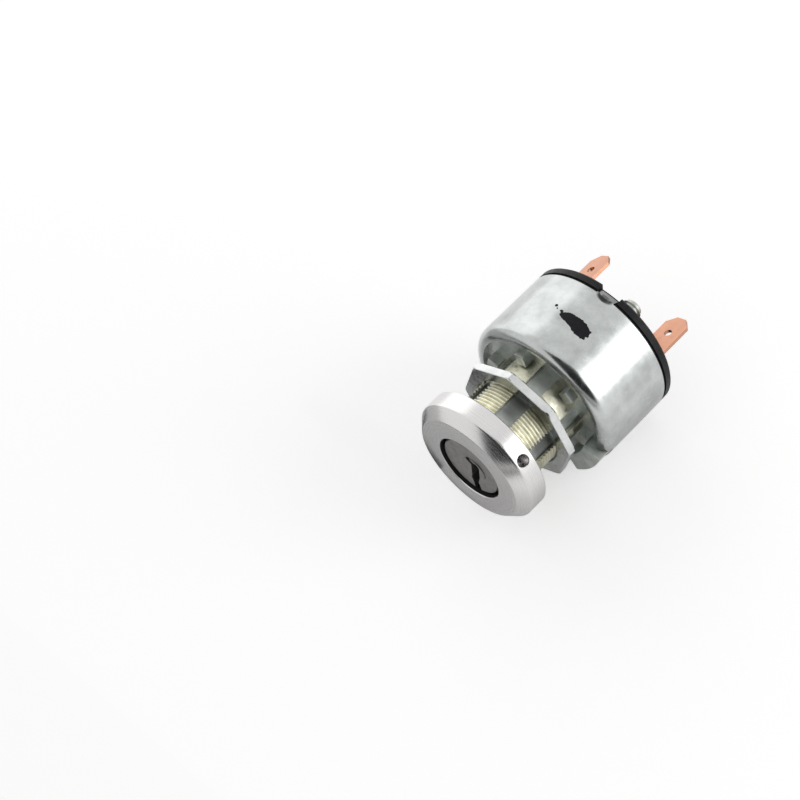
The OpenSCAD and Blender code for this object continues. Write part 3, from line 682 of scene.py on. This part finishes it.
class SWITCH_OT_ring(bpy.types.Operator):
    """Builds the turned bezel ring with its softened bevel and its spanner holes"""
    bl_idname = "switch.ring"
    bl_label = "Bezel ring"

    def execute(self, context):
        ring = turned_solid(RING_PROFILE, RING_STEPS)
        cell = 360 / RING_STEPS
        ahead = HOLE_ANGLE % cell
        bmesh.ops.transform(ring, matrix=at_angle(ahead), verts=ring.verts)
        for angle in (HOLE_ANGLE, HOLE_ANGLE + 180):
            self.drill(ring, angle, cell * HOLE_CELLS / 2)
        clean(ring)
        # Painted shadow inside the opening
        for face in ring.faces:
            spot = face.calc_center_median() / MM
            if spot.y > RING_FRONT + OPENING_EDGE and from_axis(spot) < RING_BORE:
                face.material_index = SHADOWED_OPENING
        materials = [turned_aluminium(context.scene.switch_colours.ring), painted_shadow_bore()]
        piece = make_piece("ring", ring, materials, FIXED, smooth_angle=28)
        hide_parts("bezel_ring")
        return {"FINISHED"}

    def drill(self, bm, angle, reach):
        """Round hole in the side, with a small bevel and a flat floor"""
        back = at_angle(-angle)
        patch = []
        for face in bm.faces:
            spot = back @ face.calc_center_median() / MM
            turn = math.degrees(math.atan2(spot.z, spot.x))
            on_side = SIDE_FRONT < spot.y < SIDE_BACK and from_axis(spot) > RING_R - SIDE_SLACK
            if on_side and abs(turn) < reach:
                patch.append(face)
        bmesh.ops.delete(bm, geom=patch, context="FACES")
        border = [e for e in bm.edges if e.is_boundary]
        made = bmesh.ops.create_circle(bm, segments=len(border), radius=1)
        edge = list({e for v in made["verts"] for e in v.link_edges})
        mouth = HOLE_R + HOLE_BEVEL
        for vert in made["verts"]:
            vert.co = self.on_side(angle, vert.co.x * mouth, vert.co.y * mouth)
        bmesh.ops.bridge_loops(bm, edges=border + edge)
        outward = at_angle(angle) @ Vector((1, 0, 0))
        middle = Vector((0, HOLE_Y * MM, 0))
        for floor in (RING_R - HOLE_BEVEL, RING_R - HOLE_DEPTH):
            grown = bmesh.ops.extrude_edge_only(bm, edges=edge)["geom"]
            edge = [e for e in grown if isinstance(e, bmesh.types.BMEdge)]
            for vert in (v for v in grown if isinstance(v, bmesh.types.BMVert)):
                flat = vert.co - middle
                flat -= outward * flat.dot(outward)
                vert.co = middle + flat.normalized() * HOLE_R * MM + outward * floor * MM
        bmesh.ops.contextual_create(bm, geom=edge)

    def on_side(self, angle, across, along):
        """Point on the ring's side, measured from a hole's middle"""
        turn = angle + math.degrees(across / RING_R)
        return at_angle(turn) @ Vector((RING_R * MM, (HOLE_Y + along) * MM, 0))


NUT_SIDES = 8
NUT_STEPS = 16 * NUT_SIDES
# Radii of the nut: to its flats, to the round edge of its faces, and beyond which its side begins
NUT_FLAT_R, NUT_FACE_R, NUT_SIDE_R = 14.0, 14.86, 12
# Its bore, the bore's lead-in, the eased edges, and the height of the chamfer on the corners
NUT_BORE, NUT_LEAD_IN, NUT_EASE, NUT_CHAMFER = 11.1, 0.45, 0.12, 0.3
# Profile of the nut while it is still round
NUT_PROFILE = [
    (NUT_BORE, NUT_FRONT + NUT_LEAD_IN), (NUT_BORE + NUT_LEAD_IN, NUT_FRONT),
    (NUT_FLAT_R - NUT_EASE, NUT_FRONT), (NUT_FLAT_R, NUT_FRONT + NUT_EASE),
    (NUT_FLAT_R, NUT_FRONT + NUT_CHAMFER), (NUT_FLAT_R, NUT_BACK - NUT_CHAMFER),
    (NUT_FLAT_R, NUT_BACK - NUT_EASE), (NUT_FLAT_R - NUT_EASE, NUT_BACK),
    (NUT_BORE + NUT_LEAD_IN, NUT_BACK), (NUT_BORE, NUT_BACK - NUT_LEAD_IN),
]


class SWITCH_OT_nut(bpy.types.Operator):
    """Builds the thin eight-sided jam nut with its chamfered corners"""
    bl_idname = "switch.nut"
    bl_label = "Jam nut"

    def execute(self, context):
        nut = turned_solid(NUT_PROFILE, NUT_STEPS)
        side = FULL_TURN / NUT_SIDES
        for vert in nut.verts:
            radius, height = from_axis(vert.co) / MM, vert.co.y / MM
            if radius > NUT_SIDE_R:
                off_middle = (math.atan2(vert.co.z, vert.co.x) % side) - side / 2
                on_cone = NUT_FACE_R + min(height - NUT_FRONT, NUT_BACK - height)
                grown = min(1 / math.cos(off_middle), on_cone / radius)
                vert.co.x *= grown
                vert.co.z *= grown
        bmesh.ops.recalc_face_normals(nut, faces=nut.faces)
        zinc = bright_zinc(context.scene.switch_colours.nut)
        piece = make_piece("nut", nut, [zinc], FIXED, smooth_angle=25)
        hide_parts("jam_nut")
        return {"FINISHED"}


# Thread of the stud: radii, turning steps, and the plain end in front of the tip
STUD_CREST, STUD_ROOT, STUD_STEPS, STUD_END = 2.5, 2.1, 48, 0.5
# Rounded tip, from the thread to the axis
TIP_PROFILE = [(STUD_ROOT - 0.1, STUD_TIP - 0.1), (STUD_ROOT - 0.35, STUD_TIP), (0, STUD_TIP)]
# Collar of the stud: sides, radius, height, rounding, and angle in degrees
COLLAR_SIDES, COLLAR_R, COLLAR_HEIGHT, COLLAR_EASE, COLLAR_ANGLE = 6, 4.6, 1.8, 0.2, 58
# How far the thread and the shank reach into the collar
COLLAR_GRIP = 0.2
# Shank through the base: radius, front end and turning steps
SHANK_R, SHANK_FRONT, SHANK_STEPS = 2.0, 30.4, 32


class SWITCH_OT_stud(bpy.types.Operator):
    """Builds the threaded battery stud with its six-sided collar"""
    bl_idname = "switch.stud"
    bl_label = "Battery stud"

    def execute(self, context):
        pitch = context.scene.switch_sizes.stud_pitch / MM
        low, high = (Vector(corner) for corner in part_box("battery_contact"))
        centre = (low + high) / 2
        centre.y = 0
        thread_front = BASE_BACK + COLLAR_HEIGHT - COLLAR_GRIP
        thread_end = STUD_TIP - STUD_END
        points = thread_profile(STUD_CREST, STUD_ROOT, 0.0, pitch,
                                thread_front, thread_end, thread_end)
        stud = turned_solid(points[:-1] + TIP_PROFILE, STUD_STEPS, closed=False)
        add_to(stud, self.collar())
        shank_back = BASE_BACK + COLLAR_GRIP
        shank = [(0, shank_back), (SHANK_R, shank_back), (SHANK_R, SHANK_FRONT), (0, SHANK_FRONT)]
        add_to(stud, turned_solid(shank, SHANK_STEPS, closed=False))
        bmesh.ops.translate(stud, vec=centre, verts=stud.verts)
        clean(stud)
        zinc = plain_metal("stud_zinc", STUD_GREY, roughness=0.34)
        piece = make_piece("stud", stud, [zinc], FIXED, smooth_angle=35)
        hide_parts("battery_stud")
        return {"FINISHED"}

    def collar(self):
        """Six-sided foot that sits on the base"""
        bm = bmesh.new()
        bmesh.ops.create_cone(bm, cap_ends=True, segments=COLLAR_SIDES, radius1=COLLAR_R * MM,
                              radius2=COLLAR_R * MM, depth=COLLAR_HEIGHT * MM)
        lift = Matrix.Translation((0, (BASE_BACK + COLLAR_HEIGHT / 2) * MM, 0))
        lay = lift @ Matrix.Rotation(math.pi / 2, 4, "X")
        bmesh.ops.transform(bm, matrix=at_angle(COLLAR_ANGLE) @ lay, verts=bm.verts)
        soften(bm, COLLAR_EASE)
        return bm


# Springs that twist or stretch: bodies at the front and back ends, thickness of the wire
SPRINGS = {"return_spring": (FIXED, TURNING, 1.0), "detent_spring": (DETENT, TURNING, 0.4)}


class SWITCH_OT_springs(bpy.types.Operator):
    """Lets the return spring twist with the rotor, and the detent spring follow its ball"""
    bl_idname = "switch.springs"
    bl_label = "Springs"

    def execute(self, context):
        for node, (front_body, back_body, wire) in SPRINGS.items():
            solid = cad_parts[node]
            spring = bmesh.new()
            spring.from_mesh(solid.data)
            clean(spring)
            steel = solid.material_slots[0].material
            piece = make_piece(node + "_wire", spring, [steel], body=None,
                               smooth_angle=60)
            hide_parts(node)
            front, back = span(node, Y)
            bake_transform(piece, front_body, back_body,
                     start=(0, (front + wire) * MM, 0), end=(0, (back - wire) * MM, 0))
        return {"FINISHED"}


# Outline of the paint mark: distance from the can's back edge in millimetres, angle in degrees
PAINT_MARK = [
    (8.32, 92.5), (7.87, 89.9), (8.30, 89.2), (7.63, 85.3), (7.43, 80.3), (7.29, 75.9),
    (7.61, 71.3), (8.15, 67.6), (8.19, 65.6), (8.91, 66.0), (9.66, 64.8), (9.85, 66.6),
    (10.59, 65.8), (11.05, 68.4), (11.08, 72.4), (10.96, 75.3), (10.30, 80.0), (10.04, 84.4),
    (9.82, 87.5), (9.34, 90.5), (8.72, 90.4),
]
# Drops of paint beside it, with their radius in millimetres
PAINT_DOTS = [(7.76, 96.7, 0.42), (8.30, 94.7, 0.2)]
# Sheet that the mark is cut from: faces, size and middle, along the can and round it
PAINT_CELLS, PAINT_SHEET, PAINT_MIDDLE = (90, 188), (6, 12.5), (9.2, 27.0)
# Ragged edge: coarse and fine waves for each millimetre, their height, and the smoothing passes
PAINT_SEED = 5
COARSE_WAVES, FINE_WAVES, WAVE_HEIGHT = 2.2, 6, 0.12
RIM_PASSES = 4
# Share of the thickness that is solid: the rest keeps the underside off the can
PAINT_SOLID = 0.9


def inside(point, outline):
    """Whether a point lies in a closed outline"""
    x, y = point
    found = False
    for (x1, y1), (x2, y2) in zip(outline, outline[1:] + outline[:1]):
        if (y1 > y) != (y2 > y) and x < (x2 - x1) * (y - y1) / (y2 - y1) + x1:
            found = not found
    return found


class SWITCH_OT_paint_mark(bpy.types.Operator):
    """Lays the black paint mark on the can"""
    bl_idname = "switch.paint_mark"
    bl_label = "Paint mark"

    def execute(self, context):
        thickness = context.scene.switch_sizes.paint_thickness
        per_degree = CAN_R * math.pi / 180
        bm = self.cut_sheet(per_degree)
        rim = [v for v in bm.verts if v.is_boundary]
        for _ in range(RIM_PASSES):
            bmesh.ops.smooth_vert(bm, verts=rim, factor=0.5, use_axis_x=True, use_axis_y=True)
        for vert in bm.verts:
            along, arc, _ = vert.co
            flat = Vector((CAN_R * MM + thickness, (CAN_BACK - along) * MM, 0))
            vert.co = at_angle(arc / per_degree) @ flat
        bmesh.ops.recalc_face_normals(bm, faces=bm.faces)
        top = bm.faces[:]
        if top[0].normal.dot(top[0].calc_center_median() * Vector((1, 0, 1))) < 0:
            bmesh.ops.reverse_faces(bm, faces=top)
        bmesh.ops.solidify(bm, geom=top, thickness=thickness * PAINT_SOLID)
        bmesh.ops.recalc_face_normals(bm, faces=bm.faces)
        paint = black_paint(context.scene.switch_colours.paint)
        make_piece("paint_mark", bm, [paint], FIXED, smooth_angle=60)
        return {"FINISHED"}

    def cut_sheet(self, per_degree):
        """Flat sheet with the ragged outline of the mark, in millimetres"""
        noise.seed_set(PAINT_SEED)
        outline = [(along, angle * per_degree) for along, angle in PAINT_MARK]
        bm = bmesh.new()
        columns, rows = PAINT_CELLS
        bmesh.ops.create_grid(bm, x_segments=columns, y_segments=rows, size=0.5)
        bmesh.ops.scale(bm, vec=(*PAINT_SHEET, 1), verts=bm.verts)
        bmesh.ops.translate(bm, vec=(*PAINT_MIDDLE, 0), verts=bm.verts)
        away = []
        for face in bm.faces:
            spot = face.calc_center_median()
            wobble = (noise.noise_vector(spot * COARSE_WAVES) * WAVE_HEIGHT
                      + noise.noise_vector(spot * FINE_WAVES) * WAVE_HEIGHT)
            x, y = spot.x + wobble.x, spot.y + wobble.y
            dot = any(math.hypot(x - along, y - angle * per_degree) < radius
                      for along, angle, radius in PAINT_DOTS)
            if not (dot or inside((x, y), outline)):
                away.append(face)
        bmesh.ops.delete(bm, geom=away, context="FACES")
        return bm


class SWITCH_OT_finishes(bpy.types.Operator):
    """Gives every solid of the frame its finish"""
    bl_idname = "switch.finishes"
    bl_label = "Finishes"

    def execute(self, context):
        colours = context.scene.switch_colours
        spring = plain_metal("spring_steel", SPRING_GREY, roughness=0.3)
        brass = plain_metal("contact_brass", BRASS_YELLOW, roughness=0.32)
        copper = sheet_copper(colours.copper)
        finishes = {
            "can": zinc_plate(colours.can),
            "key_plug": plug_metal(colours.plug),
            "terminal_base": black_moulding(colours.moulding),
            "rotor": brown_moulding(),
            "ignition_blade": copper, "start_blade": copper, "contact_plate": copper,
            "ignition_contact": brass, "start_contact": brass, "battery_contact": brass,
        }
        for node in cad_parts:
            if node.startswith("wafer_") and "spring" not in node:
                dress(node, brass)
            else:
                dress(node, finishes.get(node, spring))
        return {"FINISHED"}


# Stage, in metres. The lamps and the front card face the middle of the switch.
MIDDLE = (0, 0.02, 0)
LAMPS = {
    "right_lamp": dict(place=(0.52, 0.31, 0.25), width=0.4, height=0.45, brightness=1.9),
    "left_lamp": dict(place=(-0.62, 0.27, 0.3), width=0.8, height=0.7, brightness=0.6),
}
CARDS = {
    "front_card": dict(place=(0.42, -0.34, 0.45), target=MIDDLE,
                       width=1.2, height=1.0, shade=0.02),
    "left_card": dict(place=(-0.036, -0.006, -0.018), target=(-0.036, -0.006, 1),
                      width=0.04, height=0.008, shade=0.02),
    "floor_card": dict(place=(0.15, -0.34, -0.0185), target=(0.15, -0.34, 1),
                       width=0.7, height=0.5, shade=0.25),
}
# Floor: size, gap below the can in millimetres, grey, and the light that it gives off
FLOOR_SIZE, FLOOR_GAP, FLOOR_GREY, FLOOR_GLOW = 3, 0.05, 0.9, 0.45
# Where reflections see that light: to the right, and to the left beside the back of the switch
GLOW_RIGHT, GLOW_LEFT, GLOW_BACK = (0.005, 0.04), (-0.03, -0.01), (0.002, 0.009)
# Light of the surroundings, and how bright they look
ROOM_LIGHT, ROOM_SEEN = 0.45, 1.0
# Camera: its own directions, place, lens and sensor in millimetres, and nearest sight in metres
CAMERA_RIGHT = Vector((0.7158, 0.6774, -0.1692))
CAMERA_UP = Vector((-0.4707, 0.6472, 0.5996))
CAMERA_BACK = Vector((0.5157, -0.3496, 0.7822))
CAMERA_PLACE = Vector((207.14, -159.56, 351.67)) * MM
LENS, SENSOR, NEAREST = 92.2, 36.0, 0.01


def facing(place, target):
    """Turn that makes a lamp or card look from its place at a target"""
    return (Vector(target) - Vector(place)).to_track_quat("-Z", "Y")


def soft_lamp(name, place, width, height, brightness):
    """Lamp whose brightness doesn't depend on its size"""
    data = bpy.data.lights.new(name, "AREA")
    data.shape = "RECTANGLE"
    data.size, data.size_y = width, height
    data.energy = brightness * math.pi * width * height
    lamp = bpy.data.objects.new(name, data)
    lamp.location = place
    lamp.rotation_euler = facing(place, MIDDLE).to_euler()
    bpy.context.scene.collection.objects.link(lamp)


def flat_sheet(name, width, height, matrix, material):
    """Flat sheet of the stage"""
    bm = bmesh.new()
    bmesh.ops.create_grid(bm, x_segments=1, y_segments=1, size=0.5)
    bmesh.ops.scale(bm, vec=(width, height, 1), verts=bm.verts)
    bmesh.ops.transform(bm, matrix=matrix, verts=bm.verts)
    mesh = bpy.data.meshes.new(name)
    bm.to_mesh(mesh)
    bm.free()
    mesh.materials.append(material)
    sheet = bpy.data.objects.new(name, mesh)
    bpy.context.scene.collection.objects.link(sheet)
    return sheet


def dark_card(name, place, target, width, height, shade):
    """Dark card that only reflections show"""
    turn = facing(place, target).to_matrix().to_4x4()
    finish = Finish(name, (shade, shade, shade), metallic=0.0, roughness=0.8)
    card = flat_sheet(name, width, height, Matrix.Translation(place) @ turn, finish.material)
    card.visible_camera = card.visible_diffuse = card.visible_shadow = False


def seen_directly(nodes, links):
    """1 for camera, glossy and transmission rays, 0 for the rest"""
    path = nodes.new("ShaderNodeLightPath")
    total = path.outputs["Is Camera Ray"]
    for ray in ("Is Glossy Ray", "Is Transmission Ray"):
        node = nodes.new("ShaderNodeMath")
        node.operation = "MAXIMUM"
        links.new(total, node.inputs[0])
        links.new(path.outputs[ray], node.inputs[1])
        total = node.outputs[0]
    return total


class SWITCH_OT_stage(bpy.types.Operator):
    """Sets up the pale floor, the soft lamps and the camera"""
    bl_idname = "switch.stage"
    bl_label = "Stage"

    def execute(self, context):
        scene = context.scene
        scene.view_settings.view_transform = "Standard"
        self.floor()
        self.surroundings(scene)
        for name, lamp in LAMPS.items():
            soft_lamp(name, **lamp)
        for name, card in CARDS.items():
            dark_card(name, **card)
        self.camera(scene)
        return {"FINISHED"}

    def floor(self):
        """Pale floor, lit up for the camera and, beside the switch, for reflections"""
        finish = Finish("pale_floor", (FLOOR_GREY,) * 3, metallic=0.0, roughness=0.8)
        x, y, _ = finish.axes()
        right = finish.rise(x, *GLOW_RIGHT)
        left = finish.math("MULTIPLY", finish.fall(x, *GLOW_LEFT), finish.rise(y, *GLOW_BACK))
        rays = finish.nodes.new("ShaderNodeLightPath").outputs
        beside = finish.math("MAXIMUM", right, left)
        mirrored = finish.math("MULTIPLY", rays["Is Glossy Ray"], beside)
        seen = finish.math("MAXIMUM", rays["Is Camera Ray"], mirrored)
        finish.shader.inputs["Emission Color"].default_value = (1, 1, 1, 1)
        finish.set("Emission Strength", finish.math("MULTIPLY", seen, FLOOR_GLOW))
        below = Matrix.Translation((0, 0, -(CAN_R + FLOOR_GAP) * MM))
        flat_sheet("floor", FLOOR_SIZE, FLOOR_SIZE, below, finish.material)

    def surroundings(self, scene):
        """White all round, dimmer as a light than as a sight"""
        world = bpy.data.worlds.new("studio")
        scene.world = world
        world.use_nodes = True
        nodes, links = world.node_tree.nodes, world.node_tree.links
        backdrop = nodes["Background"]
        mix = nodes.new("ShaderNodeMapRange")
        mix.inputs["To Min"].default_value = ROOM_LIGHT
        mix.inputs["To Max"].default_value = ROOM_SEEN
        links.new(seen_directly(nodes, links), mix.inputs["Value"])
        backdrop.inputs["Color"].default_value = (1, 1, 1, 1)
        links.new(mix.outputs["Result"], backdrop.inputs["Strength"])

    def camera(self, scene):
        """Camera that sees the switch from the side, in front and above"""
        data = bpy.data.cameras.new("camera")
        data.lens, data.sensor_width = LENS, SENSOR
        data.clip_start = NEAREST
        camera = bpy.data.objects.new("camera", data)
        axes = (CAMERA_RIGHT, CAMERA_UP, CAMERA_BACK, CAMERA_PLACE)
        rows = [[axis[row] for axis in axes] for row in range(3)]
        camera.matrix_world = Matrix(rows + [[0, 0, 0, 1]])
        scene.collection.objects.link(camera)
        scene.camera = camera


STEPS = (SWITCH_OT_finishes, SWITCH_OT_ring, SWITCH_OT_nut, SWITCH_OT_barrel, SWITCH_OT_stud,
         SWITCH_OT_springs, SWITCH_OT_paint_mark, SWITCH_OT_stage)


class VIEW3D_PT_switch(bpy.types.Panel):
    """Lists the switch's pieces, sizes and colours"""
    bl_label = "Ignition switch"
    bl_space_type = "VIEW_3D"
    bl_region_type = "UI"
    bl_category = "Switch"

    def draw(self, context):
        for step in STEPS:
            self.layout.operator(step.bl_idname)
        for group in (context.scene.switch_sizes, context.scene.switch_colours):
            box = self.layout.box()
            for name in group.__annotations__:
                box.prop(group, name)


CLASSES = (SwitchSizes, SwitchColours, *STEPS, VIEW3D_PT_switch)


def register():
    for cls in CLASSES:
        bpy.utils.register_class(cls)
    bpy.types.Scene.switch_sizes = bpy.props.PointerProperty(type=SwitchSizes)
    bpy.types.Scene.switch_colours = bpy.props.PointerProperty(type=SwitchColours)


def unregister():
    del bpy.types.Scene.switch_colours
    del bpy.types.Scene.switch_sizes
    for cls in reversed(CLASSES):
        bpy.utils.unregister_class(cls)


def main():
    register()
    bpy.ops.switch.finishes()
    bpy.ops.switch.ring()
    bpy.ops.switch.nut()
    bpy.ops.switch.barrel()
    bpy.ops.switch.stud()
    bpy.ops.switch.springs()
    bpy.ops.switch.paint_mark()
    bpy.ops.switch.stage()


if __name__ == "__main__":
    main()
